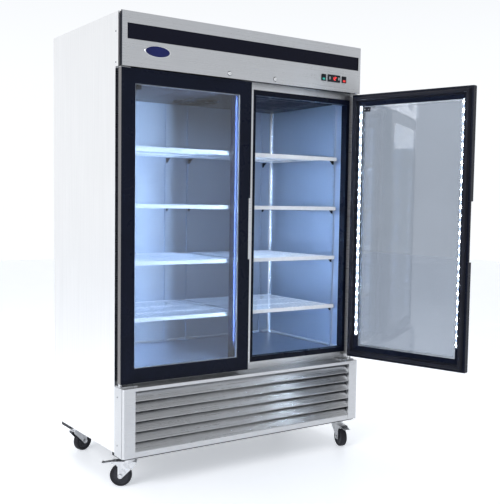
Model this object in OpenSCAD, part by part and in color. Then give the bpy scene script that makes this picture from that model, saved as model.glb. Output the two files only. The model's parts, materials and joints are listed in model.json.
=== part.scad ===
// Two-section reach-in refrigerator with glass doors.
// Frame: origin on the floor under the middle of the cabinet body, +X to the right seen from
// the front, the doors face -Y, +Z up. All sizes in millimetres.

/* [Cabinet] */
// Width of the cabinet across its side skins
body_w = 1382; // [1300:1:1440]
// Depth of the insulated body, face frame to rear skin
body_d = 736; // [700:1:780]
// Overall height, floor to top skin
overall_h = 2118; // [2090:1:2180]
// Height of the body's underside above the floor
leg_h = 148; // [146:1:152]
// Thickness of the outer sheet metal
skin_t = 1.2; // [1:0.1:2]
// Insulated wall thickness at the sides
wall_t = 41; // [38:1:45]

/* [Header] */
// Height of the stainless header panel
header_h = 236; // [230:1:260]
// How far header and doors stand in front of the face frame
front_out = 58; // [56:1:64]
// Height of the black perforated band
band_h = 68; // [50:1:75]
// Distance of each door lock from the middle
lock_x = 132; // [100:1:180]

/* [Doors] */
// Height of each door
door_h = 1396; // [1390:1:1402]
// Free gap between the two doors
door_gap = 8; // [6:1:10]
// Width of the black frame round the glass
frame_w = 60; // [56:1:64]
// Angle at which the right door stands open
rest_open = 106; // [90:1:115]
// Length of the recessed finger pull
pull_l = 297; // [200:1:400]

/* [Shelves] */
// Height of the lowest shelf's middle
shelf_first = 745; // [720:5:780]
// Vertical distance between shelves
shelf_pitch = 265; // [250:5:265]
// Number of shelf wires
shelf_wires = 23; // [12:1:30]

/* [Base and casters] */
// Height of the louvred lower front
grille_h = 316; // [310:1:320]
// How far the louvred front stands in front of the face frame
grille_out = 87; // [84:1:95]
// Number of louvre blades
blade_count = 6; // [4:1:8]
// Caster wheel diameter
wheel_d = 100; // [96:1:102]
// Offset of the wheel axle from its swivel axis
trail = 38; // [32:1:42]

/* [Hidden] */
$fn = 48;

// Clearances
gap = 0.3;            // between fixed sheets that meet
mitre_gap = 0.15;     // at each side of a mitred corner
run_fit = 0.08;       // radial play of pins and axles

// Colours
stainless = [0.78, 0.79, 0.81];
zinc = [0.62, 0.65, 0.68];
black = [0.06, 0.07, 0.09];
rubber_black = [0.09, 0.09, 0.10];
white = [0.93, 0.95, 0.97];
copper = [0.72, 0.43, 0.28];

// Levels and planes. The face frame's front is the plane y = face_y.
face_y = -body_d / 2;
rear_y = body_d / 2;
half_w = body_w / 2;
grille_top = leg_h + grille_h;
base_z = leg_h + 12;                 // base pan and side skins end above the grille's lower edge
header_z = overall_h - header_h;
door_z0 = grille_top + 16;
door_z1 = door_z0 + door_h;
header_y = face_y - front_out;
band_z = header_z + 151;
band_x0 = -661;
band_x1 = 671;
header_step = 29;                    // side and top skins reach this far forward at the header
inner_x = half_w - wall_t;           // inside of the liner's side walls
liner_y0 = face_y + 42;
liner_y1 = rear_y - 56;
floor_z = grille_top + 54;
ceiling_z = overall_h - 68;
open_x0 = 60;                        // inner edge of each door opening
open_x1 = inner_x - 1;
open_z0 = grille_top + 63;
open_z1 = header_z - 56;
mullion_half = 45;
breaker_d = 42;
cover_z = open_z1 + 8;               // underside of the evaporator cover

// Doors, described closed on the right-hand side
door_x0 = door_gap / 2;
door_x1 = half_w - 4;
glass_y = header_y + 2;              // outside of the front pane
pane_t = 4;
frame_y0 = glass_y + pane_t + 0.2;
frame_y1 = face_y - 24;
hinge_x = half_w - 14;
hinge_y = face_y - 30;
pin_r = 4;
pull_z = (door_z0 + door_z1) / 2 - 6;
pull_deep = 17;
rim_w = 8;

// Controls on the header
lock_z = header_z + 21;
control_z = header_z + 61;
thermostat_x = 505;
light_rocker_x = 437;
power_rocker_x = 573;
rocker_pivot_y = header_y + 1;
badge_x = -514;
badge_z = header_z + 76;

// Shelves
shelf_x0 = 8;
shelf_x1 = inner_x - 14;
shelf_y0 = face_y + 60;
shelf_y1 = face_y + 650;
lip_h = 20;
rest_gap = 0.3;
post_half = 9;
pilaster_y = face_y + 96;
rear_pilasters = [70, 580];

// Casters
wheel_r = wheel_d / 2;
axle_r = 6;
plate_z = leg_h - 10;
caster_x = half_w - 69;
caster_front_y = face_y - 13;
caster_rear_y = face_y + 600;

// Louvred front
grille_y = face_y - grille_out;
post_w = 61;
rail_top = 15;
rail_bottom = 25;

// ---------------------------------------------------------------- helpers

// Box between two opposite corners
module box(a, b) {
    translate(a) cube(b - a);
}

// A shape and its mirror image across the middle of the cabinet
module both_sides() {
    children();
    mirror([1, 0, 0]) children();
}

// Outline in (y, z) extruded along X
module prism_x(x0, x1, outline) {
    translate([x0, 0, 0]) rotate([90, 0, 90]) linear_extrude(x1 - x0) polygon(outline);
}

// Outline in (x, z) extruded along Y
module prism_y(y0, y1, outline) {
    translate([0, y1, 0]) rotate([90, 0, 0]) linear_extrude(y1 - y0) polygon(outline);
}

// Round bar along Y
module bar_y(r, x, y0, y1, z) {
    translate([x, y0, z]) rotate([-90, 0, 0]) cylinder(r = r, h = y1 - y0);
}

// Round bar along X
module bar_x(r, x0, x1, y, z) {
    translate([x0, y, z]) rotate([0, 90, 0]) cylinder(r = r, h = x1 - x0);
}

// Pipe through a list of points, with ball elbows
module pipe(r, route) {
    for (i = [0 : len(route) - 2]) {
        way = route[i + 1] - route[i];
        turn = atan2(way[1], way[0]);
        tilt = acos(way[2] / norm(way));
        translate(route[i]) rotate([0, tilt, turn]) cylinder(r = r, h = norm(way), $fn = 24);
    }
    for (i = [1 : len(route) - 2]) translate(route[i]) sphere(r = r, $fn = 24);
}

// One side of a mitred frame. It lies along X with its outer edge at z = 0.
// The profile holds (distance from the outer edge, y) points.
module mitred_bar(length, width, profile) {
    intersection() {
        prism_x(0, length, [for (p = profile) [p[1], p[0]]]);
        prism_y(face_y - 200, face_y + 200, [
            [mitre_gap - 1, -1], [length - mitre_gap + 1, -1],
            [length - width - mitre_gap - 1, width + 1], [width + mitre_gap + 1, width + 1]]);
    }
}

// Four mitred bars round the rectangle (x0, z0) to (x1, z1)
module mitred_frame(x0, z0, x1, z1, width, profile) {
    translate([x0, 0, z0]) mitred_bar(x1 - x0, width, profile);
    translate([x0, 0, z1]) mirror([0, 0, 1]) mitred_bar(x1 - x0, width, profile);
    translate([x0, 0, z0]) mirror([1, 0, -1]) mitred_bar(z1 - z0, width, profile);
    translate([x1, 0, z0]) mirror([1, 0, 0]) mirror([1, 0, -1])
        mitred_bar(z1 - z0, width, profile);
}

// Turns a closed right-hand door to its open rest position
module opened() {
    translate([hinge_x, hinge_y, 0]) rotate([0, 0, rest_open])
        translate([-hinge_x, -hinge_y, 0]) children();
}

// Puts a door part on the left (closed) or right (open) side
module on_door(side) {
    if (side == "left") mirror([1, 0, 0]) children();
    else opened() children();
}

// ---------------------------------------------------------------- cabinet shell

module side_skin() {
    color(stainless) {
        prism_x(half_w - skin_t, half_w, [
            [face_y, base_z], [rear_y, base_z], [rear_y, overall_h],
            [face_y - header_step, overall_h], [face_y - header_step, header_z],
            [face_y, header_z]]);
        box([half_w - 8, face_y - header_step, header_z],
            [half_w - skin_t, face_y - header_step + skin_t, overall_h - skin_t - gap]);
    }
}

module rear_skin() {
    color(stainless) difference() {
        box([-half_w + skin_t + gap, rear_y - skin_t, base_z],
            [half_w - skin_t - gap, rear_y, overall_h - skin_t - gap]);
        for (row = [0 : 7]) for (column = [-4 : 4])
            translate([column * 130 - 50, rear_y - 5, leg_h + 60 + row * 26]) cube([100, 10, 10]);
    }
}

module top_skin() {
    color(stainless)
        box([-half_w + skin_t + gap, face_y - header_step + skin_t + gap, overall_h - skin_t],
            [half_w - skin_t - gap, rear_y, overall_h]);
}

module foam_insulation() {
    low = grille_top + 3;
    high = overall_h - skin_t - 2 * gap;
    back = rear_y - skin_t - gap;
    color([0.93, 0.88, 0.70]) {
        both_sides() box([inner_x + 1 + gap, liner_y0 + gap, low],
            [half_w - skin_t - gap, back, high]);
        box([-inner_x - 1, liner_y1 + 1 + gap, low], [inner_x + 1, back, high]);
        box([-inner_x - 1, liner_y0 + gap, low], [inner_x + 1, liner_y1 + 1, floor_z - 1 - gap]);
        box([-inner_x - 1, face_y + 62, ceiling_z + 1 + gap], [inner_x + 1, liner_y1 + 1, high]);
        box([-half_w + 3, face_y + 2, header_z - 31], [half_w - 3, liner_y0, high]);
        box([-inner_x + gap, liner_y0 - 1, open_z1 + 26], [inner_x - gap, face_y + 60, high]);
    }
}

module liner() {
    color(stainless) {
        both_sides() box([inner_x, liner_y0 + gap, floor_z - 1],
            [inner_x + 1, liner_y1 + 1, ceiling_z + 1]);
        box([-inner_x + gap, liner_y1, floor_z - 1], [inner_x - gap, liner_y1 + 1, ceiling_z + 1]);
        box([-inner_x + gap, liner_y0 + gap, floor_z - 1],
            [inner_x - gap, liner_y1 - gap, floor_z]);
        box([-inner_x + gap, face_y + 62, ceiling_z],
            [inner_x - gap, liner_y1 - gap, ceiling_z + 1]);
        box([-inner_x + gap, face_y + 60 + gap, open_z1 + 26],
            [inner_x - gap, face_y + 61 + gap, ceiling_z + 1]);
    }
}

// Top and bottom rails, outer stiles and the centre mullion post
module face_frame() {
    sheet = 1.5;
    edge = half_w - skin_t - gap;
    low = open_z0 - 25;
    high = open_z1 + 25;
    color(stainless) {
        box([-edge, face_y, high + gap], [edge, face_y + sheet, header_z + 12]);
        box([-edge, face_y, grille_top + 3], [edge, face_y + sheet, low - gap]);
        both_sides() box([open_x1 + 18 + gap, face_y, low], [edge, face_y + sheet, high]);
        box([-mullion_half, face_y, low], [mullion_half, liner_y0, high]);
    }
}

// Black plastic strips that line each door opening
module breaker_strips() {
    y0 = face_y + 0.2;
    y1 = face_y + breaker_d;
    x0 = mullion_half + gap;
    x1 = open_x1 + 18;
    color(black) both_sides() {
        box([x0, y0, open_z1], [x1, y1, open_z1 + 25]);
        box([x0, y0, open_z0 - 25], [x1, y1, open_z0]);
        box([x0, y0, open_z0 + gap], [open_x0, y1, open_z1 - gap]);
        box([open_x1, y0, open_z0 + gap], [x1, y1, open_z1 - gap]);
    }
}

// ---------------------------------------------------------------- header

// Upright slab with rounded front corners: half width, front and back y, corner radius
module rounded_slab(half, y0, y1, r, z0, z1) {
    translate([0, 0, z0]) linear_extrude(z1 - z0) {
        translate([-half, y0 + r]) square([2 * half, y1 - y0 - r]);
        translate([-half + r, y0]) square([2 * (half - r), r + 1]);
        for (s = [-1, 1]) translate([s * (half - r), y0 + r]) circle(r = r);
    }
}

module rocker_opening(x, grow = 0) {
    box([x - 11 - grow, header_y - 8, control_z - 13.5 - grow],
        [x + 11 + grow, header_y + 30, control_z + 13.5 + grow]);
}

module header_panel() {
    half = half_w - 3;
    color(stainless) difference() {
        rounded_slab(half, header_y, header_y + 8, 5, header_z, overall_h);
        rounded_slab(half - skin_t, header_y + skin_t, header_y + 20, 4,
            header_z + skin_t, overall_h - skin_t);
        box([band_x0, header_y - 1, band_z - band_h / 2], [band_x1, header_y + 3,
            band_z + band_h / 2]);
        for (s = [-1, 1]) bar_y(8.2, s * lock_x, header_y - 1, header_y + 3, lock_z);
        for (x = [light_rocker_x, power_rocker_x]) rocker_opening(x, 2);
        box([thermostat_x - 36, header_y - 1, control_z - 14.8],
            [thermostat_x + 36, header_y + 3, control_z + 14.8]);
    }
}

// Black carrier seen in the side seams, and the plate behind the perforated band
module header_backing() {
    half = half_w - 10;
    y0 = header_y + 9;
    y1 = face_y - 1;
    low = header_z + 4;
    high = overall_h - 6;
    color(black) {
        box([-half + 14, header_y + 2, band_z - band_h / 2 - 6],
            [half - 14, header_y + 3.5, band_z + band_h / 2 + 6]);
        both_sides() box([half - 1.5, y0, low], [half, y1, high]);
        box([-half + 1.8, y0, high - 1.5], [half - 1.8, y1, high]);
        box([-half + 1.8, face_y - 22, low], [half - 1.8, y1, low + 1.5]);
    }
}

// Electrical box and LED driver in the header, and the cord gland low on the rear skin
module control_box() {
    color([0.75, 0.76, 0.78]) {
        box([230, face_y - 40, control_z - 10], [390, face_y - 3, control_z + 60]);
        box([30, face_y - 34, control_z], [190, face_y - 3, control_z + 42]);
    }
    color(black) difference() {
        union() {
            bar_y(17, 560, rear_y + 0.2, rear_y + 5, leg_h + 52);
            bar_y(11, 560, rear_y + 5, rear_y + 18, leg_h + 52);
        }
        bar_y(4.5, 560, rear_y - 5, rear_y + 30, leg_h + 52);
    }
}

// Plain oval badge, rocker bezels and lock barrels
module header_fittings() {
    badge_w = 130;
    badge_h = 50;
    color([0.15, 0.35, 0.62]) prism_y(header_y - 2.2, header_y - 0.2,
        [for (i = [0 : 71]) [badge_x + badge_w / 2 * cos(i * 5), badge_z + badge_h / 2 * sin(i * 5)]]);
    color(black) for (x = [light_rocker_x, power_rocker_x]) difference() {
        union() {
            box([x - 15, header_y - 3, control_z - 17], [x + 15, header_y - 0.2, control_z + 17]);
            box([x - 12.8, header_y - 0.3, control_z - 15.3],
                [x + 12.8, header_y + 24, control_z + 15.3]);
        }
        box([x - 11, header_y - 8, control_z - 13.5], [x + 11, header_y + 22, control_z + 13.5]);
        bar_x(1.5 + run_fit, x - 12.2, x + 12.2, rocker_pivot_y, control_z);
    }
    color(zinc) for (s = [-1, 1]) difference() {
        union() {
            bar_y(9.5, s * lock_x, header_y - 3, header_y - 0.2, lock_z);
            bar_y(8, s * lock_x, header_y - 0.3, header_y + 13, lock_z);
        }
        bar_y(6 + run_fit, s * lock_x, header_y - 5, header_y + 20, lock_z);
    }
}

button_x = 30.5;       // distance of each thermostat button from the middle of the controller
button_w = 7;
button_h = 14;

module thermostat() {
    color(black) difference() {
        union() {
            box([thermostat_x - 40, header_y - 5, control_z - 18],
                [thermostat_x + 40, header_y - 0.2, control_z + 18]);
            box([thermostat_x - 35.5, header_y - 0.3, control_z - 14.3],
                [thermostat_x + 35.5, header_y + 46, control_z + 14.3]);
        }
        box([thermostat_x - 25, header_y - 6, control_z - 13],
            [thermostat_x + 25, header_y - 4, control_z + 13]);
        for (s = [-1, 1]) translate([thermostat_x + s * button_x, header_y - 6, control_z])
            translate([-button_w / 2 - 0.4, 0, -button_h / 2 - 0.4])
                cube([button_w + 0.8, 8, button_h + 0.8]);
    }
}

// Push button; it moves 0.8 mm inwards
module thermostat_button(side) {
    x = thermostat_x + side * button_x;
    color(zinc) box([x - button_w / 2, header_y - 6.2, control_z - button_h / 2],
        [x + button_w / 2, header_y + 0.8, control_z + button_h / 2]);
}

// Rocker tilted to one side of its trunnions; it swings 20 degrees
module rocker(x, shade) {
    color(shade) bar_x(1.5, x - 12, x + 12, rocker_pivot_y, control_z);
    color(shade) translate([x, rocker_pivot_y, control_z]) rotate([10, 0, 0])
        prism_x(-10.3, 10.3, [[5, -7], [5, 7], [-1.5, 12.2], [-5.6, 12.2], [-3.9, 0],
            [-5.6, -12.2], [-1.5, -12.2]]);
}

// Lock plug with its keyway and the cam that drops into the door's top rail
module lock_plug(side) {
    x = side * lock_x;
    color(zinc) {
        difference() {
            bar_y(6, x, header_y - 2.6, header_y + 18, lock_z);
            box([x - 4, header_y - 4, lock_z - 0.8], [x + 4, header_y + 4, lock_z + 0.8]);
        }
        box([x - 7, header_y + 15, lock_z - 6], [x + 40, header_y + 17.5, lock_z + 6]);
    }
}

// ---------------------------------------------------------------- shelves

module shelf(side, level) {
    z = shelf_first + (level - 1) * shelf_pitch;
    wire_r = 1.7;
    rod_x0 = shelf_x0 + 8;
    rod_x1 = shelf_x1 - 4;
    pitch = (rod_x1 - rod_x0 - 12) / (shelf_wires + 1);
    color(white) mirror([side == "left" ? 1 : 0, 0, 0]) {
        box([shelf_x0, shelf_y0, z - lip_h / 2], [shelf_x1, shelf_y0 + 5, z + lip_h / 2]);
        box([shelf_x0, shelf_y1 - 5, z - 2], [shelf_x1, shelf_y1, z + lip_h / 2]);
        for (x = [rod_x0, rod_x1 - 6]) box([x, shelf_y0 + 4, z - 1], [x + 6, shelf_y1 - 4, z + 7]);
        for (t = [0.34, 0.67]) {
            y = shelf_y0 + t * (shelf_y1 - shelf_y0);
            box([rod_x0 + 2, y - 3, z + 1], [rod_x1 - 2, y + 3, z + 6]);
        }
        for (i = [1 : shelf_wires])
            bar_y(wire_r, rod_x0 + 6 + i * pitch, shelf_y0 + 3, shelf_y1 - 3, z + 7);
    }
}

// Slotted pilasters on the walls, the slotted centre post and the shelf clips
module shelf_supports() {
    top = cover_z - 8;
    color(stainless) {
        box([-post_half, pilaster_y - 10, floor_z + gap], [post_half, pilaster_y + 10, top]);
        both_sides() {
            box([inner_x - 10, pilaster_y - 10, floor_z + gap], [inner_x - gap, pilaster_y + 10, top]);
            for (x = rear_pilasters)
                box([x - 10, liner_y1 - 10, floor_z + gap], [x + 10, liner_y1 - gap, top]);
        }
    }
    color(black) both_sides() for (level = [0 : 3]) {
        z = shelf_first + level * shelf_pitch;
        side_top = z - 1 - rest_gap;
        rear_top = z - 2 - rest_gap;
        prism_y(pilaster_y - 5, pilaster_y + 5, [[post_half + gap, side_top], [26, side_top],
            [26, side_top - 4], [post_half + gap, side_top - 20]]);
        prism_y(pilaster_y - 5, pilaster_y + 5, [[inner_x - 10 - gap, side_top],
            [inner_x - 28, side_top], [inner_x - 28, side_top - 4],
            [inner_x - 10 - gap, side_top - 20]]);
        for (x = rear_pilasters) prism_x(x - 5, x + 5, [[liner_y1 - 10 - gap, rear_top],
            [shelf_y1 - 10, rear_top], [shelf_y1 - 10, rear_top - 4],
            [liner_y1 - 10 - gap, rear_top - 20]]);
    }
}

// ---------------------------------------------------------------- refrigeration

evap_fan_y = face_y + 480;
evap_fan_r = 118;

module evaporator_coil() {
    y0 = face_y + 150;
    z0 = cover_z + 40;
    color([0.80, 0.82, 0.84]) {
        for (i = [0 : 27]) box([-411 + i * 30, y0, z0], [-409.5 + i * 30, y0 + 160, z0 + 130]);
        for (y = [y0 + 4, y0 + 150]) for (z = [z0, z0 + 124])
            box([-423, y, z], [423, y + 6, z + 6]);
        both_sides() box([421, y0 - 6, z0 - 6], [423, y0 + 166, z0 + 136]);
    }
    color(copper) both_sides() for (row = [0 : 2]) for (column = [0 : 3])
        pipe(4.5, [[423.5, y0 + 22 + column * 38, z0 + 24 + row * 40],
            [440, y0 + 22 + column * 38, z0 + 24 + row * 40],
            [440, y0 + 22 + column * 38, z0 + 42 + row * 40],
            [423.5, y0 + 22 + column * 38, z0 + 42 + row * 40]]);
}

// Black cover under the evaporator with the fan guard, and the fan motor on its bracket
module evaporator_cover() {
    y0 = face_y + 110;
    y1 = liner_y1 - 8;
    edge = inner_x - 12;
    color(black) {
        difference() {
            union() {
                box([-edge, y0, cover_z], [edge, y1, cover_z + 3]);
                box([-edge, y0, cover_z], [edge, y0 + 3, cover_z + 34]);
            }
            translate([0, evap_fan_y, cover_z - 5]) cylinder(r = evap_fan_r + 6, h = 20);
            for (s = [-1, 1]) for (i = [0 : 9])
                box([s * 390 - 130, y0 + 60 + i * 36, cover_z - 1],
                    [s * 390 + 130, y0 + 74 + i * 36, cover_z + 4]);
        }
        translate([0, evap_fan_y, cover_z - 4]) {
            for (r = [24, 48, 72, 96, 120]) rotate_extrude() translate([r, 0]) circle(r = 1.5, $fn = 16);
            for (a = [0, 60, 120]) rotate([0, 0, a]) bar_x(1.5, -128, 128, 0, 2);
        }
    }
    color(zinc) {
        translate([0, evap_fan_y, cover_z + 48]) cylinder(r = 42, h = 56);
        translate([0, evap_fan_y, cover_z + 22]) cylinder(r = 4, h = 27);
        for (a = [30, 150, 270]) rotate_about([0, evap_fan_y], a)
            box([38, -6, cover_z + 60], [150, 6, cover_z + 63]);
        for (a = [30, 150, 270]) rotate_about([0, evap_fan_y], a)
            box([147, -6, cover_z + 2], [150, 6, cover_z + 62]);
    }
}

// Turns a shape about an upright axis through p and puts it there
module rotate_about(p, a) {
    translate([p[0], p[1], 0]) rotate([0, 0, a]) children();
}

// Axial fan along +Z: radius, hub radius, number of blades
module fan_blades(r, hub, count) {
    difference() {
        cylinder(r = hub, h = 22);
        translate([0, 0, 10]) cylinder(r = 4 + run_fit, h = 20);
    }
    intersection() {
        cylinder(r = r, h = 40);
        for (i = [0 : count - 1]) rotate([0, 0, i * 360 / count])
            translate([hub - 3, 0, 11]) rotate([28, 0, 0])
                translate([0, -0.32 * r, -1]) cube([r, 0.64 * r, 2]);
    }
}

module evaporator_fan() {
    color([0.55, 0.58, 0.60]) translate([0, evap_fan_y, cover_z + 10]) fan_blades(evap_fan_r, 26, 5);
}

cond_x = -330;
cond_z = base_z + 160;
cond_r = 112;

module compressor() {
    x = 300;
    y = face_y + 330;
    color(black) {
        translate([x, y, base_z + 96]) cylinder(r = 75, h = 60);
        translate([x, y, base_z + 96]) sphere(r = 75);
        translate([x, y, base_z + 156]) sphere(r = 75);
        box([x - 30, y - 105, base_z + 110], [x + 30, y - 60, base_z + 180]);
    }
    color(zinc) box([x - 110, y - 90, base_z + 14], [x + 110, y + 90, base_z + 24]);
    color(rubber_black) for (sx = [-1, 1]) for (sy = [-1, 1])
        translate([x + sx * 92, y + sy * 72, base_z + 2 + gap]) cylinder(r = 12, h = 11.4);
}

module condenser_coil() {
    x0 = cond_x - 190;
    x1 = cond_x + 190;
    y0 = face_y - 6;
    z0 = base_z + 30;
    z1 = base_z + 286;
    color([0.30, 0.31, 0.33]) {
        for (i = [0 : 18]) box([x0 + 9 + i * 20, y0, z0], [x0 + 10.5 + i * 20, y0 + 44, z1]);
        for (z = [z0, z1 - 6]) box([x0 - 2, y0 + 18, z], [x1 + 2, y0 + 24, z + 6]);
        for (x = [x0 - 2, x1])
            box([x, y0 - 4, base_z + 2 + gap], [x + 2, y0 + 47, z1 + 4]);
    }
    color(copper) for (row = [0 : 4]) for (column = [0 : 1])
        pipe(4.5, [[x1 + 2.5, y0 + 12 + column * 20, z0 + 20 + row * 48],
            [x1 + 18, y0 + 12 + column * 20, z0 + 20 + row * 48],
            [x1 + 18, y0 + 12 + column * 20, z0 + 44 + row * 48],
            [x1 + 2.5, y0 + 12 + column * 20, z0 + 44 + row * 48]]);
}

module condenser_fan() {
    color([0.55, 0.58, 0.60]) translate([cond_x, face_y + 66, cond_z]) rotate([-90, 0, 0])
        fan_blades(cond_r, 24, 4);
}

// Fan shroud behind the coil, the motor and its bracket
module condenser_motor() {
    y0 = face_y + 42;
    color(zinc) {
        difference() {
            box([cond_x - 180, y0, base_z + 34], [cond_x + 180, y0 + 2, base_z + 282]);
            bar_y(cond_r + 6, cond_x, y0 - 5, y0 + 10, cond_z);
        }
        bar_y(36, cond_x, face_y + 98, face_y + 160, cond_z);
        bar_y(4, cond_x, face_y + 78, face_y + 99, cond_z);
        difference() {
            box([cond_x - 26, face_y + 100, base_z + 2 + gap], [cond_x + 26, face_y + 150, cond_z]);
            box([cond_x - 22, face_y + 90, base_z + 6], [cond_x + 22, face_y + 160, cond_z + 1]);
        }
    }
}

module refrigerant_lines() {
    comp_x = 300;
    comp_y = face_y + 330;
    color(copper) {
        pipe(5, [[comp_x - 77, comp_y, base_z + 150], [comp_x - 130, comp_y, base_z + 150],
            [comp_x - 130, face_y + 120, base_z + 150], [cond_x + 250, face_y + 120, base_z + 150],
            [cond_x + 250, face_y + 50, base_z + 150]]);
        pipe(7, [[comp_x, comp_y + 78, base_z + 170], [comp_x, comp_y + 130, base_z + 170],
            [comp_x, comp_y + 130, base_z + 290], [560, comp_y + 130, base_z + 290]]);
        pipe(3, [[60, face_y + 240, base_z + 75], [180, face_y + 240, base_z + 75],
            [180, face_y + 400, base_z + 75], [180, face_y + 400, base_z + 280]]);
    }
    color(copper) bar_x(11, -70, 58, face_y + 240, base_z + 75);
}

module drain_pan() {
    color(black) difference() {
        box([-500, face_y + 420, base_z + 2 + gap], [-60, face_y + 690, base_z + 52]);
        box([-497, face_y + 423, base_z + 5], [-63, face_y + 687, base_z + 60]);
    }
}

// ---------------------------------------------------------------- base

// Base pan, stainless cheeks and ledge of the plinth, rear stretcher and caster channels
module base_frame() {
    low = base_z + 2 + gap;
    color(stainless) {
        box([-half_w + skin_t + gap, grille_y + 14, base_z],
            [half_w - skin_t - gap, rear_y - skin_t - gap, base_z + 2]);
        both_sides() box([half_w - skin_t, grille_y + 13, leg_h], [half_w, face_y - gap, grille_top]);
        box([-half_w + skin_t + gap, grille_y + 13, grille_top - 1.5],
            [half_w - skin_t - gap, face_y - gap, grille_top]);
        box([-half_w + skin_t + gap, face_y, grille_top + gap],
            [half_w - skin_t - gap, rear_y - 3, grille_top + 2]);
        both_sides() for (y = [face_y + 2, rear_y - 43]) {
            box([half_w - 6, y, low], [half_w - 3, y + 40, grille_top]);
            box([half_w - 40, y, low], [half_w - 6, y + 3, grille_top]);
        }
    }
    color(black) for (y = [caster_front_y, caster_rear_y]) difference() {
        box([-half_w + 9, y - 55, plate_z], [half_w - 9, y + 55, base_z - gap]);
        box([-half_w + 12, y - 52, plate_z + 3], [half_w - 12, y + 52, base_z]);
    }
}

// Removable front grille: rounded corner posts and two rails
module louvre_frame() {
    outer = half_w - 1;
    inner = outer - post_w;
    r = 11;
    back = grille_y + r + 1;
    color(stainless) {
        both_sides() translate([0, 0, leg_h + gap]) linear_extrude(grille_h - gap) {
            translate([inner, grille_y]) square([post_w - r, r + 1]);
            translate([outer - r, grille_y + r]) square([r, 1]);
            intersection() {
                translate([outer - r, grille_y + r]) circle(r = r);
                translate([inner, grille_y]) square([post_w, r + 1]);
            }
        }
        box([-inner + gap, grille_y + 1, grille_top - rail_top], [inner - gap, back, grille_top]);
        box([-inner + gap, grille_y + 1, leg_h + gap], [inner - gap, back, leg_h + rail_bottom]);
    }
}

// Sloping blades: the top edge lies deeper than the bottom edge
module louvre_blades() {
    inner = half_w - 1 - post_w;
    z0 = leg_h + rail_bottom;
    pitch = (grille_h - rail_top - rail_bottom) / blade_count;
    deep = grille_y + 27;
    out = grille_y + 2.5;
    color(stainless) for (i = [0 : blade_count - 1]) {
        high = z0 + (i + 1) * pitch - 3;
        low = z0 + i * pitch + 2.5;
        prism_x(-inner + 1, inner - 1, [[deep, high], [out, low], [out, low - 2], [out + 1.5, low - 2],
            [deep + 1.5, high - 0.6], [deep + 1.5, high]]);
    }
    // straps that join the blades behind
    color(stainless) for (x = [-420, 0, 420])
        box([x - 8, deep + 0.5, z0 + 4], [x + 8, deep + 2.5, grille_top - rail_top - 4]);
}

// ---------------------------------------------------------------- casters

// Puts a caster part, drawn about the swivel axis with the wheel towards +X, in its corner
module caster_at(corner) {
    x = (corner == "front_left" || corner == "rear_left") ? -caster_x : caster_x;
    y = (corner == "front_left" || corner == "front_right") ? caster_front_y : caster_rear_y;
    a = corner == "front_left" ? 145 : corner == "front_right" ? -105
        : corner == "rear_left" ? 19 : -60;
    translate([x, y, 0]) rotate([0, 0, a]) children();
}

module caster_plates() {
    color(zinc) for (sx = [-1, 1]) for (y = [caster_front_y, caster_rear_y])
        translate([sx * caster_x, y, 0]) difference() {
            union() {
                box([-52, -42, plate_z - 4], [52, 42, plate_z - 0.1]);
                translate([0, 0, plate_z - 10]) cylinder(r = 30, h = 7);
            }
            translate([0, 0, plate_z - 20]) cylinder(r = axle_r + run_fit, h = 40);
            for (bx = [-1, 1]) for (by = [-1, 1])
                translate([bx * 40, by * 30, plate_z - 20]) cylinder(r = 4.5, h = 40);
        }
}

module caster_fork(corner) {
    leg = [[-34, 116], [80, 116], [82, 105], [58, 101], [50, 92], [50, 44], [44, 37],
        [33, 37], [27, 44], [-34, 104]];
    color(zinc) caster_at(corner) {
        difference() {
            union() {
                for (y = [18.5, -21.5]) prism_y(y, y + 3, leg);
                box([-34, -21.5, 112], [62, 21.5, 116]);
                translate([0, 0, 115]) cylinder(r = 27, h = 12.5);
                translate([0, 0, 120]) cylinder(r = axle_r, h = plate_z - 122);
            }
            if (corner == "front_left" || corner == "front_right")
                bar_y(3 + run_fit, 72, -30, 30, 109);
        }
        bar_y(axle_r, trail, -24, 24, wheel_r);
        for (y = [-29, 24]) translate([trail, y, wheel_r]) rotate([-90, 0, 0])
            cylinder(r = 9, h = 5, $fn = 6);
    }
}

module caster_wheel(corner) {
    r = wheel_r;
    color(rubber_black) caster_at(corner) translate([trail, 0, r]) rotate([-90, 0, 0])
        rotate_extrude($fn = 96) polygon([[axle_r + run_fit, -17], [14, -17], [14, -12.5],
            [r - 15, -12.5], [r - 11, -16], [r - 4, -16], [r - 1.2, -13.5], [r, -9], [r, 9],
            [r - 1.2, 13.5], [r - 4, 16], [r - 11, 16], [r - 15, 12.5], [14, 12.5], [14, 17],
            [axle_r + run_fit, 17]]);
}

// Brake pedal pivoted between the fork's legs; it swings 12 degrees down
module brake_pedal(corner) {
    color(zinc) caster_at(corner) {
        bar_y(3, 72, -24, 24, 109);
        bar_y(6, 72, -17.5, 17.5, 109);
        prism_y(-16, 16, [[70, 112], [76, 114.5], [116, 107], [124, 109.5], [124.6, 107.6],
            [116.4, 104.4], [76, 110], [70, 108]]);
    }
}

// ---------------------------------------------------------------- doors

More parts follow.
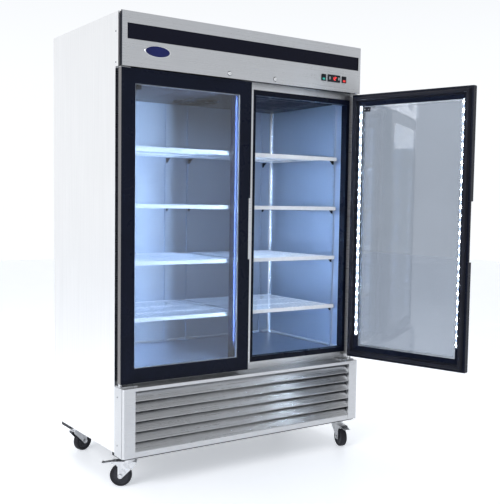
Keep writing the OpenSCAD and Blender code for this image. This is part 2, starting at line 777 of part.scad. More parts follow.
module door_frame(side) {
    profile = [[0, frame_y0], [frame_w, frame_y0], [frame_w, frame_y1 - 14],
        [frame_w - 20, frame_y1], [0, frame_y1]];
    low = pull_z - pull_l / 2;
    high = pull_z + pull_l / 2;
    color(black) on_door(side) difference() {
        union() {
            mitred_frame(door_x0, door_z0, door_x1, door_z1, frame_w, profile);
            // rim round the front pane
            mitred_frame(door_x0, door_z0, door_x1, door_z1, rim_w,
                [[0, glass_y], [rim_w, glass_y], [rim_w, frame_y0 - 0.2], [0, frame_y0 - 0.2]]);
        }
        // hinge pin bores, top and bottom
        translate([hinge_x, hinge_y, door_z0 - 10]) cylinder(r = pin_r + run_fit, h = 32);
        translate([hinge_x, hinge_y, door_z1 - 22]) cylinder(r = pin_r + run_fit, h = 32);
        // finger pull cut into the free edge, with a lip behind the pane
        box([door_x0 - 5, glass_y - 1, low], [door_x0 + rim_w + gap, frame_y1 - 6, high]);
        box([door_x0 - 5, frame_y0 + 7, low], [door_x0 + pull_deep, frame_y1 - 6, high]);
        // joints of the pull's own moulded insert
        for (z = [low, high]) box([door_x0 - 5, glass_y - 1, z - 0.1],
            [door_x0 + frame_w + 1, frame_y1 + 1, z + 0.1]);
        box([door_x0 + pull_deep, frame_y0 - 1, low], [door_x0 + pull_deep + 0.2, frame_y1 + 1, high]);
        // pocket for the lock's cam
        box([lock_x - 44, header_y + 12, door_z1 - 18], [lock_x + 44, header_y + 20.5, door_z1 + 5]);
    }
}

// Front pane, rear pane and the spacer between them
module door_glass(side) {
    edge = frame_w + 0.3;
    rear_pane = frame_y1 - 17;
    color([0.70, 0.80, 0.90, 0.35]) on_door(side) {
        box([door_x0 + rim_w + gap, glass_y, door_z0 + rim_w + gap],
            [door_x1 - rim_w - gap, glass_y + pane_t, door_z1 - rim_w - gap]);
        box([door_x0 + edge, rear_pane, door_z0 + edge],
            [door_x1 - edge, rear_pane + pane_t, door_z1 - edge]);
        mitred_frame(door_x0 + edge, door_z0 + edge, door_x1 - edge, door_z1 - edge, 9,
            [[0, glass_y + pane_t + 0.2], [9, glass_y + pane_t + 0.2],
            [9, rear_pane - 0.2], [0, rear_pane - 0.2]]);
    }
}

// Magnetic gasket on the back of the frame
module door_gasket(side) {
    inset = 12;
    y0 = frame_y1 + 0.2;
    y1 = face_y - 0.8;
    color(rubber_black) on_door(side)
        mitred_frame(door_x0 + inset, door_z0 + inset, door_x1 - inset, door_z1 - inset, 26,
            [[0, y0], [26, y0], [26, y0 + 3], [22, y0 + 6], [21, y1 - 4], [18, y1], [6, y1],
            [3, y1 - 4], [2, y0 + 6], [0, y0 + 3]]);
}

// Two light strips on the sloping inner faces of the stiles, and their connector block
module led_strips(side) {
    slope = atan2(14, 20);
    low = door_z0 + 120;
    high = door_z1 - frame_w;
    color([0.85, 0.93, 1]) on_door(side) {
        for (flip = [0, 1]) translate([flip == 0 ? door_x0 : door_x1, 0, 0])
            mirror([flip, 0, 0]) translate([frame_w - 10, frame_y1 - 7, 0]) rotate([0, 0, -slope])
                box([-7, 0.3, low], [7, 5.3, high]);
    }
    color(zinc) on_door(side)
        box([door_x1 - frame_w - 36, frame_y1 - 12.8, door_z1 - frame_w - 24],
            [door_x1 - frame_w - 10, frame_y1 - 5, door_z1 - frame_w - 6]);
}

// Zinc brackets and their pins, above and below each door
module hinge_brackets() {
    color(zinc) both_sides() {
        box([hinge_x - 74, hinge_y - 26, grille_top + 0.2], [half_w - 3, face_y - 2, grille_top + 5]);
        translate([hinge_x, hinge_y, grille_top + 4]) cylinder(r = 9, h = 11);
        translate([hinge_x, hinge_y, grille_top + 4]) cylinder(r = pin_r, h = 32);
        box([hinge_x - 40, hinge_y - 12, header_z - 4.5], [half_w - 5, face_y - 0.2, header_z - 1]);
        translate([hinge_x, hinge_y, door_z1 - 20]) cylinder(r = pin_r, h = 24);
    }
}

// ---------------------------------------------------------------- nodes

mirror([1, 0, 0]) side_skin();  // side_skin_left
side_skin();  // side_skin_right
rear_skin();
top_skin();
foam_insulation();
liner();
face_frame();
breaker_strips();
header_panel();
header_backing();
control_box();
header_fittings();
thermostat();
thermostat_button(-1);  // thermostat_button_left
thermostat_button(1);  // thermostat_button_right
rocker(power_rocker_x, [0.85, 0.15, 0.15]);  // power_rocker
rocker(light_rocker_x, [0.15, 0.75, 0.60]);  // light_rocker
lock_plug(-1);  // lock_plug_left
lock_plug(1);  // lock_plug_right
shelf("left", 1);  // shelf_left_1
shelf("left", 2);  // shelf_left_2
shelf("left", 3);  // shelf_left_3
shelf("left", 4);  // shelf_left_4
shelf("right", 1);  // shelf_right_1
shelf("right", 2);  // shelf_right_2
shelf("right", 3);  // shelf_right_3
shelf("right", 4);  // shelf_right_4
shelf_supports();
evaporator_coil();
evaporator_cover();
evaporator_fan();
compressor();
condenser_coil();
condenser_fan();
condenser_motor();
refrigerant_lines();
drain_pan();
base_frame();
louvre_frame();
louvre_blades();
caster_plates();
caster_fork("front_left");  // caster_fork_front_left
caster_fork("front_right");  // caster_fork_front_right
caster_fork("rear_left");  // caster_fork_rear_left
caster_fork("rear_right");  // caster_fork_rear_right
caster_wheel("front_left");  // caster_wheel_front_left
caster_wheel("front_right");  // caster_wheel_front_right
caster_wheel("rear_left");  // caster_wheel_rear_left
caster_wheel("rear_right");  // caster_wheel_rear_right
brake_pedal("front_left");  // brake_pedal_left
brake_pedal("front_right");  // brake_pedal_right
door_frame("left");  // door_frame_left
door_frame("right");  // door_frame_right
door_glass("left");  // door_glass_left
door_glass("right");  // door_glass_right
door_gasket("left");  // door_gasket_left
door_gasket("right");  // door_gasket_right
led_strips("left");  // led_strips_left
led_strips("right");  // led_strips_right
hinge_brackets();
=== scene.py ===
import json
import math
import bpy
import bmesh
from mathutils import Matrix, Vector


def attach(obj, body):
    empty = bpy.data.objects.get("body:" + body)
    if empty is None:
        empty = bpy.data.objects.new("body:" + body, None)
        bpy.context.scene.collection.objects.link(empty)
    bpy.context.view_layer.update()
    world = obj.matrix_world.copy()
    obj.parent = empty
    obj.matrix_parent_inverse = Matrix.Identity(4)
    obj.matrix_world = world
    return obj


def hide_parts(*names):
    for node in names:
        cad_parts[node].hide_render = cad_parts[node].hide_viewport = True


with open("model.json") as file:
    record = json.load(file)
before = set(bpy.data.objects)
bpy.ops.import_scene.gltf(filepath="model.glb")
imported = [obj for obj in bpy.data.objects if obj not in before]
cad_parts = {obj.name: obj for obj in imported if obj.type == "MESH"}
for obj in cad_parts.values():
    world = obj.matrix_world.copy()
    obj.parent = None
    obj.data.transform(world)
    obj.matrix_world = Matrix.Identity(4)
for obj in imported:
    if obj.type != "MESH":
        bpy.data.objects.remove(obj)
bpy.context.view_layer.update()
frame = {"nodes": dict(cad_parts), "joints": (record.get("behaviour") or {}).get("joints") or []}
NODES = frame["nodes"]

# ---------------------------------------------------------------- sizes shared with the CAD model
HALF_W, FACE_Y, REAR_Y = 0.691, -0.368, 0.368
HEADER_Y, GRILLE_TOP, LEG_H = -0.426, 0.464, 0.148
DOOR_X0, DOOR_X1, DOOR_Z0, DOOR_Z1 = 0.004, 0.687, 0.480, 1.876
CORE_Y, BACK_Y = -0.4198, -0.392
HINGE = Vector((0.677, -0.398, 0))
REST_OPEN = math.radians(106)
INNER_X, LINER_Y0, LINER_Y1, FLOOR_Z = 0.650, -0.326, 0.312, 0.518
SHELF_Z = [0.745, 1.010, 1.275, 1.540]
SHELF_Y0, SHELF_Y1 = -0.308, 0.282
PILASTER_Y, PILASTER_TOP, REAR_PILASTERS = -0.272, 1.826, (0.070, 0.580)
SWITCH_X, CONTROL_Z, LOCK_X, LOCK_Z = (0.437, 0.573), 1.943, 0.132, 1.903
CASTER_X, CASTER_YS = 0.622, (-0.381, 0.232)


# ---------------------------------------------------------------- shader helper
class Shader:
    """A Principled material with procedural layers in the object's own coordinates."""

    def __init__(self, name, color, rough, metal=0.0, **more):
        self.m = bpy.data.materials.new(name)
        self.m.use_nodes = True
        self.t = self.m.node_tree
        self.b = self.t.nodes["Principled BSDF"]
        self.color, self.normal = color, None
        self.set("Base Color", (*color, 1))
        self.set("Roughness", rough)
        self.set("Metallic", metal)
        for key, value in more.items():
            self.set(key.replace("_", " "), value)
        self.xyz = self.t.nodes.new("ShaderNodeTexCoord").outputs["Object"]

    def set(self, key, value):
        self.b.inputs[key].default_value = value

    def plug(self, key, out):
        self.t.links.new(out, self.b.inputs[key])

    def scaled(self, scale):
        n = self.t.nodes.new("ShaderNodeMapping")
        n.inputs["Scale"].default_value = scale
        self.t.links.new(self.xyz, n.inputs["Vector"])
        return n.outputs["Vector"]

    def noise(self, scale, detail=3.0, rough=0.55, twist=0.0):
        n = self.t.nodes.new("ShaderNodeTexNoise")
        self.t.links.new(self.scaled(scale), n.inputs["Vector"])
        n.inputs["Scale"].default_value = 1.0
        n.inputs["Detail"].default_value = detail
        n.inputs["Roughness"].default_value = rough
        n.inputs["Distortion"].default_value = twist
        return n.outputs["Fac"]

    def cells(self, scale, feature="F1", out="Distance"):
        n = self.t.nodes.new("ShaderNodeTexVoronoi")
        n.feature = feature
        self.t.links.new(self.scaled(scale), n.inputs["Vector"])
        n.inputs["Scale"].default_value = 1.0
        return n.outputs[out]

    def to(self, fac, lo, hi, a, b):
        n = self.t.nodes.new("ShaderNodeMapRange")
        for key, value in (("From Min", lo), ("From Max", hi), ("To Min", a), ("To Max", b)):
            n.inputs[key].default_value = value
        self.t.links.new(fac, n.inputs["Value"])
        return n.outputs["Result"]

    def math(self, kind, a, b=0.0, c=0.0):
        n = self.t.nodes.new("ShaderNodeMath")
        n.operation = kind
        for i, v in enumerate((a, b, c)):
            if isinstance(v, (int, float)):
                n.inputs[i].default_value = v
            else:
                self.t.links.new(v, n.inputs[i])
        return n.outputs[0]

    def mix(self, fac, a, b):
        n = self.t.nodes.new("ShaderNodeMix")
        n.data_type = "RGBA"
        self.t.links.new(fac, n.inputs["Factor"])
        for key, v in (("A", a), ("B", b)):
            socket = [s for s in n.inputs if s.name == key and s.type == "RGBA"][0]
            if isinstance(v, tuple):
                socket.default_value = (*v, 1)
            else:
                self.t.links.new(v, socket)
        return [s for s in n.outputs if s.type == "RGBA"][0]

    def axis(self, letter):
        n = self.t.nodes.new("ShaderNodeSeparateXYZ")
        self.t.links.new(self.xyz, n.inputs[0])
        return n.outputs[letter]

    def bump(self, height, strength, distance=0.001):
        n = self.t.nodes.new("ShaderNodeBump")
        n.inputs["Strength"].default_value = strength
        n.inputs["Distance"].default_value = distance
        self.t.links.new(height, n.inputs["Height"])
        if self.normal is not None:
            self.t.links.new(self.normal, n.inputs["Normal"])
        self.normal = n.outputs["Normal"]
        self.plug("Normal", self.normal)


def tint(c, k):
    """The colour c made k times as bright."""
    return tuple(min(1.0, v * k) for v in c)


def brushed(name, color, rough, grain, depth=0.09, pull=0.0, turn=0.0, wave=0.0, vary=1.0):
    """Metal with fine streaks. pull and turn set the anisotropy, wave a slow waviness, vary the contrast."""
    s = Shader(name, color, rough, 1.0)
    if pull:
        s.set("Anisotropic", pull)
        s.set("Anisotropic Rotation", turn)
    streak = s.noise(grain, 4, 0.65)
    cloud = s.noise((2.3, 2.3, 2.3), 3, 0.5, 0.4)
    smear = s.noise((14, 14, 6), 4, 0.6, 0.8)
    tone = s.mix(s.to(streak, 0.3, 0.7, 0, 1), tint(color, 1 - 0.10 * vary), tint(color, 1 + 0.05 * vary))
    s.plug("Base Color", s.mix(s.to(cloud, 0.35, 0.7, 0, 0.35), tone, tint(color, 0.93)))
    r = s.math("ADD", s.to(streak, 0.3, 0.7, rough - 0.06 * vary, rough + 0.07 * vary), s.to(smear, 0.5, 0.8, 0, 0.07))
    s.plug("Roughness", r)
    if wave:
        s.bump(s.noise((1.6, 1.6, 7.0), 1, 0.3), wave, 0.006)
    s.bump(streak, depth, 0.0004)
    return s.m


def plain(name, color, rough, metal=0.0, grain=900.0, depth=0.08, spread=0.12, **more):
    """Moulded or painted surface: fine texture, slight tone drift and handling marks."""
    s = Shader(name, color, rough, metal, **more)
    fine = s.noise((grain, grain, grain), 2, 0.5)
    drift = s.noise((11, 11, 11), 4, 0.6, 0.5)
    s.plug("Base Color", s.mix(s.to(drift, 0.3, 0.75, 0, 1), tint(color, 1 + spread), tint(color, 1 - spread)))
    s.plug("Roughness", s.to(drift, 0.3, 0.8, max(rough - 0.07, 0.02), rough + 0.09))
    s.bump(fine, depth, 0.0003)
    return s.m


STEEL = (0.62, 0.63, 0.65)
steel_h = brushed("steel_brushed_across", STEEL, 0.30, (2.5, 260, 520), 0.04, pull=0.85, turn=0.25)
# side skin steel: much paler than the front steel, painted light standing in for the key light on the sides
side_steel_painted_lit = brushed("steel_upright_painted_lit", (0.90, 0.90, 0.905), 0.34, (420, 420, 2.0), 0.05)
steel_top = brushed("steel_brushed_top", STEEL, 0.34, (2.5, 260, 520), 0.05)
# liner steel: darkened and tinted blue, painted shade together with painted blue LED light inside the cabinet
liner_steel_painted_shade_blue = brushed("steel_liner_painted_shade_blue", (0.46, 0.53, 0.64), 0.34, (420, 420, 5), 0.03, wave=0.05, vary=0.3)
# cove steel: paler than the liner, a painted highlight along the coved corners
cove_steel_painted_highlight = brushed("steel_cove_painted_highlight", (0.80, 0.84, 0.90), 0.18, (260, 260, 3), 0.04)
frame_edge = brushed("door_edge_strip", (0.24, 0.23, 0.23), 0.38, (600, 600, 3), 0.05)
alu = brushed("aluminium_spacer", (0.78, 0.79, 0.81), 0.30, (900, 900, 6), 0.08)

black_trim = plain("black_trim", (0.004, 0.006, 0.015), 0.30, grain=500, depth=0.02, spread=0.2,
                   Specular_IOR_Level=0.09)
black_matt = plain("black_moulded", (0.010, 0.011, 0.017), 0.50, grain=500, depth=0.10, spread=0.3,
                   Specular_IOR_Level=0.2)
rubber = plain("gasket_rubber", (0.009, 0.010, 0.017), 0.55, grain=300, depth=0.06, spread=0.3,
               Specular_IOR_Level=0.14)
tyre = plain("caster_tyre", (0.010, 0.010, 0.014), 0.60, grain=300, depth=0.15, spread=0.35, Specular_IOR_Level=0.25)
hub = plain("caster_core", (0.022, 0.023, 0.030), 0.42, grain=400, depth=0.10, spread=0.25, Specular_IOR_Level=0.3)
grey_plastic = plain("grey_plastic", (0.30, 0.31, 0.33), 0.45, grain=800, depth=0.15)
fan_grey = plain("fan_plastic", (0.10, 0.105, 0.115), 0.40, grain=800, depth=0.15)
white_coat = plain("white_coated_wire", (0.86, 0.89, 0.93), 0.27, grain=330, depth=0.22, spread=0.04)
black_paint = plain("black_enamel", (0.010, 0.010, 0.013), 0.22, grain=260, depth=0.2, spread=0.2,
                    Specular_IOR_Level=0.3)
dark_fin = plain("coil_fin_dark", (0.10, 0.10, 0.11), 0.45, 0.6, grain=500, depth=0.2)
light_fin = plain("coil_fin", (0.74, 0.76, 0.78), 0.35, 0.9, grain=500, depth=0.15)
copper = plain("copper_tube", (0.70, 0.36, 0.22), 0.28, 1.0, grain=240, depth=0.12, spread=0.25)
foam = plain("insulation_foam", (0.86, 0.78, 0.52), 0.9, grain=380, depth=0.6)
badge_blue = plain("badge_enamel", (0.004, 0.008, 0.075), 0.16, grain=300, depth=0.03, spread=0.2,
                   Specular_IOR_Level=0.25)
bright = brushed("bright_chrome", (0.82, 0.83, 0.85), 0.14, (700, 700, 700), 0.03)


def zinc_plate(name, color, rough):
    """Plated metal with a flaky crystal pattern."""
    s = Shader(name, color, rough, 1.0)
    flake = s.cells((55, 55, 55), out="Color")
    split = s.t.nodes.new("ShaderNodeSeparateColor")
    s.t.links.new(flake, split.inputs[0])
    f = split.outputs[0]
    s.plug("Base Color", s.mix(f, tint(color, 0.86), tint(color, 1.10)))
    s.plug("Roughness", s.to(f, 0, 1, rough - 0.08, rough + 0.12))
    s.bump(s.noise((300, 300, 300), 3), 0.12, 0.0003)
    return s.m


screw_steel = zinc_plate("screw_steel", (0.26, 0.27, 0.29), 0.34)
zinc = zinc_plate("zinc_plate", (0.60, 0.61, 0.63), 0.30)
galvanised = zinc_plate("galvanised_sheet", (0.62, 0.64, 0.66), 0.40)


def perforated():
    """Black sheet with rows of small round holes, painted as near-black spots: the painted shade inside each hole."""
    s = Shader("black_perforated", (0.010, 0.011, 0.018), 0.33, Specular_IOR_Level=0.08)
    holes, per_metre = None, 165.0
    for k in (0.0, 0.5):
        u = s.math("SUBTRACT", s.math("FRACT", s.math("MULTIPLY_ADD", s.axis("X"), per_metre, k)), 0.5)
        v = s.math("SUBTRACT", s.math("FRACT", s.math("MULTIPLY_ADD", s.axis("Z"), per_metre, k)), 0.5)
        d = s.math("SQRT", s.math("ADD", s.math("MULTIPLY", u, u), s.math("MULTIPLY", v, v)))
        holes = d if holes is None else s.math("MINIMUM", holes, d)
    # holes painted near black: painted shade inside each hole
    edge = s.to(holes, 0.20, 0.27, 0, 1)
    s.plug("Base Color", s.mix(edge, (0.001, 0.001, 0.002), (0.009, 0.010, 0.022)))
    s.plug("Roughness", s.to(edge, 0, 1, 0.8, 0.30))
    s.bump(edge, 0.35, 0.0008)
    return s.m


def glass(name, color, rough=0.01):
    """Clear pane with a faint film of handling marks."""
    s = Shader(name, color, rough, 0.0, Transmission_Weight=1.0, IOR=1.45)
    film = s.noise((3, 3, 2), 4, 0.6, 0.6)
    s.plug("Base Color", s.mix(s.to(film, 0.35, 0.75, 0, 1), color, tint(color, 0.96)))
    s.plug("Roughness", s.to(film, 0.4, 0.8, rough, rough + 0.02))
    return s.m


def lit(name, color, power, base=None):
    """Surface that gives off light of one colour; base is its colour when dark."""
    base = base or color
    s = Shader(name, base, 0.25)
    s.set("Emission Color", (*color, 1))
    s.set("Emission Strength", power)
    grain = s.noise((500, 500, 500), 2)
    s.plug("Base Color", s.mix(grain, tint(base, 0.9), base))
    return s.m


mesh_black = perforated()
pane_front = glass("pane_front", (0.55, 0.59, 0.65))
pane_rear = glass("pane_rear", (0.62, 0.65, 0.69))
led_dot = lit("led_dot", (0.80, 0.90, 1.0), 60.0)
led_lens = lit("led_lens", (0.75, 0.87, 1.0), 45.0)
# patch round each LED that glows: a painted glow, not a lamp
led_painted_glow = lit("led_painted_glow", (0.66, 0.80, 1.0), 1.5, (0.6, 0.7, 0.9))
# LED board: glows faintly, a painted glow of the light spread along the strip
board_painted_glow = lit("led_board_painted_glow", (0.42, 0.58, 0.95), 0.60, (0.45, 0.52, 0.65))
red_lens = lit("lens_red", (1.0, 0.05, 0.04), 0.55, (0.55, 0.02, 0.02))
green_lens = lit("lens_green", (0.03, 0.60, 0.48), 0.28, (0.02, 0.30, 0.26))
red_digit = lit("digit_red", (1.0, 0.05, 0.05), 3.0, (0.8, 0.02, 0.02))


# ---------------------------------------------------------------- mesh helper
class Part:
    """Collects rounded solids in one mesh. self.i is the material index of what comes next."""

    def __init__(self, name):
        self.name, self.bm, self.i = name, bmesh.new(), 0

    def take(self, t, m=None):
        if m is not None:
            t.transform(m)
            if m.determinant() < 0:
                bmesh.ops.reverse_faces(t, faces=t.faces[:])
        for f in t.faces:
            f.material_index = self.i
        me = bpy.data.meshes.new("t")
        t.to_mesh(me)
        t.free()
        self.bm.from_mesh(me)
        bpy.data.meshes.remove(me)

    def box(self, lo, hi, r=0.0, seg=2, m=None):
        t = bmesh.new()
        bmesh.ops.create_cube(t, size=1.0)
        size = [abs(b - a) for a, b in zip(lo, hi)]
        mid = [(a + b) / 2 for a, b in zip(lo, hi)]
        t.transform(Matrix.Translation(mid) @ Matrix.Diagonal((*size, 1)))
        if r:
            bmesh.ops.bevel(t, geom=t.edges[:], offset=min(r, min(size) * 0.49), segments=seg,
                            profile=0.5, affect="EDGES")
        self.take(t, m)

    def rod(self, p, q, r, seg=16, cap=0.0):
        """Round bar from p to q; cap rounds the rims of its ends."""
        p, q = Vector(p), Vector(q)
        t = bmesh.new()
        bmesh.ops.create_cone(t, cap_ends=True, segments=seg, radius1=r, radius2=r, depth=(q - p).length)
        if cap:
            ends = [e for e in t.edges if abs(e.verts[0].co.z - e.verts[1].co.z) < 1e-9]
            bmesh.ops.bevel(t, geom=ends, offset=cap, segments=3, profile=0.5, affect="EDGES")
        turn = (q - p).to_track_quat("Z", "Y").to_matrix().to_4x4()
        t.transform(Matrix.Translation((p + q) / 2) @ turn)
        self.take(t)

    def lathe(self, profile, m, seg=32):
        """profile: (radius, height) points turned about the local Z axis."""
        t = bmesh.new()
        rows = []
        for k in range(seg):
            a = 2 * math.pi * k / seg
            rows.append([t.verts.new((r * math.cos(a), r * math.sin(a), h)) for r, h in profile])
        for k in range(seg):
            a, b = rows[k], rows[(k + 1) % seg]
            for i in range(len(profile) - 1):
                t.faces.new((a[i], b[i], b[i + 1], a[i + 1]))
        bmesh.ops.remove_doubles(t, verts=t.verts[:], dist=1e-7)
        bmesh.ops.dissolve_degenerate(t, edges=t.edges[:], dist=1e-8)
        bmesh.ops.recalc_face_normals(t, faces=t.faces[:])
        self.take(t, m)

    def prism(self, outline, axis, a, b, m=None):
        """Closed outline in the two other axes, extruded from a to b along axis."""
        t = bmesh.new()

        def at(u, v, w):
            return {"X": (w, u, v), "Y": (u, w, v), "Z": (u, v, w)}[axis]

        low = [t.verts.new(at(u, v, a)) for u, v in outline]
        high = [t.verts.new(at(u, v, b)) for u, v in outline]
        n = len(outline)
        for i in range(n):
            j = (i + 1) % n
            t.faces.new((low[i], low[j], high[j], high[i]))
        t.faces.new(low[::-1])
        t.faces.new(high)
        bmesh.ops.recalc_face_normals(t, faces=t.faces[:])
        self.take(t, m)

    def door_ring(self, profile):
        """Mitred frame round a closed right-hand door; profile: closed (inset, y) outline."""
        t = bmesh.new()
        rows = []
        for cx, cz, sx, sz in ((DOOR_X0, DOOR_Z0, 1, 1), (DOOR_X1, DOOR_Z0, -1, 1),
                               (DOOR_X1, DOOR_Z1, -1, -1), (DOOR_X0, DOOR_Z1, 1, -1)):
            rows.append([t.verts.new((cx + sx * d, y, cz + sz * d)) for d, y in profile])
        n = len(profile)
        for k in range(4):
            a, b = rows[k], rows[(k + 1) % 4]
            for i in range(n):
                j = (i + 1) % n
                t.faces.new((a[i], b[i], b[j], a[j]))
        bmesh.ops.recalc_face_normals(t, faces=t.faces[:])
        self.take(t)

    def screw(self, pos, normal, r=0.0042, h=0.0018):
        """Pan head with a cross recess."""
        turn = Vector(normal).to_track_quat("Z", "Y").to_matrix().to_4x4()
        m = Matrix.Translation(pos) @ turn
        self.lathe([(0, h * 0.55), (r * 0.30, h * 0.55), (r * 0.42, h), (r * 0.72, h * 0.86), (r * 0.95, h * 0.45),
                    (r, 0.0), (0, 0.0)], m, 20)
        for x, y in ((r * 0.10, r * 0.52), (r * 0.52, r * 0.10)):
            self.box((-x, -y, h * 0.5), (x, y, h * 0.62), 0, m=m)

    def done(self, mats, body, replaces=(), m=None, sharp=32):
        """Turn what was collected into an object that rides on body, in place of the nodes it replaces."""
        bm = self.bm
        if m is not None:
            bm.transform(m)
            if m.determinant() < 0:
                bmesh.ops.reverse_faces(bm, faces=bm.faces[:])
        for f in bm.faces:
            f.smooth = True
        for e in bm.edges:
            e.smooth = e.is_manifold and e.calc_face_angle(0.0) < math.radians(sharp)
        me = bpy.data.meshes.new(self.name)
        bm.to_mesh(me)
        bm.free()
        for x in (mats if isinstance(mats, (list, tuple)) else [mats]):
            me.materials.append(x)
        o = bpy.data.objects.new(self.name, me)
        bpy.context.scene.collection.objects.link(o)
        bpy.context.view_layer.update()
        w = o.modifiers.new("normals", "WEIGHTED_NORMAL")
        w.keep_sharp, w.weight = True, 100
        if replaces:
            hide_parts(*replaces)
        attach(o, body)


def mirror(sx):
    return Matrix.Diagonal((sx, 1, 1, 1))


def facing_front(x, y, z):
    """Placement at (x, y, z) whose local Z axis points at the viewer."""
    return Matrix.Translation((x, y, z)) @ Matrix.Rotation(math.radians(90), 4, "X")


def dress(node, mats, rule=None, bevel=0.0):
    """Materials, and optionally rounded edges, for a CAD node that stays visible."""
    o = NODES[node]
    me = o.data
    me.materials.clear()
    mats = mats if isinstance(mats, (list, tuple)) else [mats]
    for x in mats:
        me.materials.append(x)
    for p in me.polygons:
        p.material_index = rule(p) if rule else 0
    if bevel:
        b = o.modifiers.new("edges", "BEVEL")
        b.width, b.segments, b.limit_method = bevel, 2, "ANGLE"
        b.angle_limit = math.radians(35)
        b.use_clamp_overlap = True
        b.harden_normals = False


# ---------------------------------------------------------------- cabinet shell
dress("side_skin_left", side_steel_painted_lit)
dress("side_skin_right", side_steel_painted_lit)
dress("rear_skin", galvanised)
dress("top_skin", steel_top)
dress("foam_insulation", foam)
dress("liner", liner_steel_painted_shade_blue)
dress("face_frame", steel_h, bevel=0.0008)
dress("breaker_strips", black_trim, bevel=0.0015)
# the header panel's end faces and rounded corners take black trim: painted shade of the dark gap at each end
dress("header_panel", [steel_h, black_trim],
      lambda p: 1 if abs(p.normal.x) > 0.5 and abs(p.center.x) > 0.684 else 0)
dress("header_backing", [black_matt, mesh_black],
      lambda p: 1 if p.center.y < -0.4235 and p.normal.y < -0.9 else 0)
dress("control_box", [galvanised, black_matt], lambda p: 1 if p.center.y > 0.3 else 0, bevel=0.0012)
dress("hinge_brackets", zinc, bevel=0.0006)
# the base plate band under the side skins is painted black: painted shade below the sides
dress("base_frame", [steel_h, black_matt],
      lambda p: 1 if 0.1379 < p.center.z < 0.1602 and abs(p.center.x) < 0.6825 else 0)
dress("louvre_frame", steel_h, bevel=0.001)
dress("drain_pan", black_matt, bevel=0.0012)
dress("compressor", [black_paint, zinc, rubber],
      lambda p: 2 if p.center.z < 0.1739 else (1 if p.center.z < 0.1841 else 0))
dress("condenser_coil", [dark_fin, copper], lambda p: 1 if p.center.x > -0.1385 else 0)
dress("condenser_motor", [galvanised, black_paint], lambda p: 1 if p.center.y > -0.272 else 0)
dress("condenser_fan", fan_grey, bevel=0.0006)
dress("refrigerant_lines", copper)
dress("evaporator_coil", [light_fin, copper], lambda p: 1 if abs(p.center.x) > 0.4235 else 0)
dress("evaporator_cover", [black_matt, zinc], lambda p: 1 if p.center.z > 1.869 else 0)
dress("evaporator_fan", fan_grey, bevel=0.0006)
for name in ("lock_plug_left", "lock_plug_right"):
    dress(name, [bright, zinc], lambda p: 1 if p.center.y > -0.41 else 0, bevel=0.0005)
dress("light_rocker", black_matt, bevel=0.0006)
dress("power_rocker", black_matt, bevel=0.0006)
for name in ("thermostat_button_left", "thermostat_button_right"):
    dress(name, grey_plastic, bevel=0.0008)

# screws, seams and the coved floor
p = Part("cabinet_screws")
for sx in (-1, 1):
    for z in (2.034, 1.901):
        p.screw((sx * HALF_W, FACE_Y - 0.005, z), (sx, 0, 0))
    for z in (0.20, 0.42):
        p.screw((sx * HALF_W, FACE_Y - 0.030, z), (sx, 0, 0), 0.0036)
    for k in range(8):
        p.screw((sx * 0.676, REAR_Y, 0.20 + k * 0.265), (0, 1, 0))
for k in range(9):
    for z in (2.098, 0.176):
        p.screw((-0.60 + k * 0.15, REAR_Y, z), (0, 1, 0))
for sx in (-1, 1):
    for k in (0, 1):
        p.screw((sx * (0.612 + 0.03 * k), -0.392, GRILLE_TOP + 0.005), (0, 0, 1), 0.0036, 0.002)
p.done(screw_steel, "cabinet")

p = Part("rear_seams")
for x in (-0.345, 0.345):
    p.box((x - 0.009, REAR_Y, 0.60), (x + 0.009, REAR_Y + 0.0012, 2.09), 0.0005)
p.prism([(0.515, 0.162), (0.605, 0.162), (0.605, 0.2535), (0.515, 0.2535)], "Y", REAR_Y, REAR_Y + 0.0009)
p.done(galvanised, "cabinet")

p = Part("liner_coves")
r, e = 0.014, 0.0002
arc = [(r - r * math.sin(a), r - r * math.cos(a)) for a in [math.radians(9 * k) for k in range(11)]]
cove = [(0.0, 0.0)] + arc[::-1]
for sx in (-1, 1):
    m = mirror(sx)
    side = [(INNER_X - e - u, FLOOR_Z + e + v) for u, v in cove]
    p.prism(side, "Y", LINER_Y0 + 0.001, LINER_Y1 - 0.0005, m)
    up = [(INNER_X - e - u, LINER_Y1 - e - v) for u, v in cove]
    p.prism(up, "Z", FLOOR_Z + 0.002, 2.049, m)
back = [(LINER_Y1 - e - u, FLOOR_Z + e + v) for u, v in cove]
p.prism(back, "X", -INNER_X + 0.002, INNER_X - 0.002)
p.i = 1
for x in (-0.36, 0.36):
    p.box((x - 0.011, LINER_Y1 - 0.0011, FLOOR_Z + 0.012), (x + 0.011, LINER_Y1 - e, 1.83), 0.0004)
p.done([cove_steel_painted_highlight, liner_steel_painted_shade_blue], "cabinet")

# ---------------------------------------------------------------- header fittings
p = Part("header_badge")
badge_half = (0.065, 0.025)
m = facing_front(-0.514, HEADER_Y - 0.0002, 1.958) @ Matrix.Diagonal((*badge_half, 1, 1))
p.lathe([(0.0, 0.0), (0.995, 0.0), (1.0, 0.0006), (0.985, 0.0019), (0.955, 0.0021), (0.925, 0.0017)], m, 72)
p.i = 1
p.lathe([(0.925, 0.0015), (0.7, 0.00185), (0.4, 0.0020), (0.0, 0.0021)], m, 72)
p.done([bright, badge_blue], "cabinet")


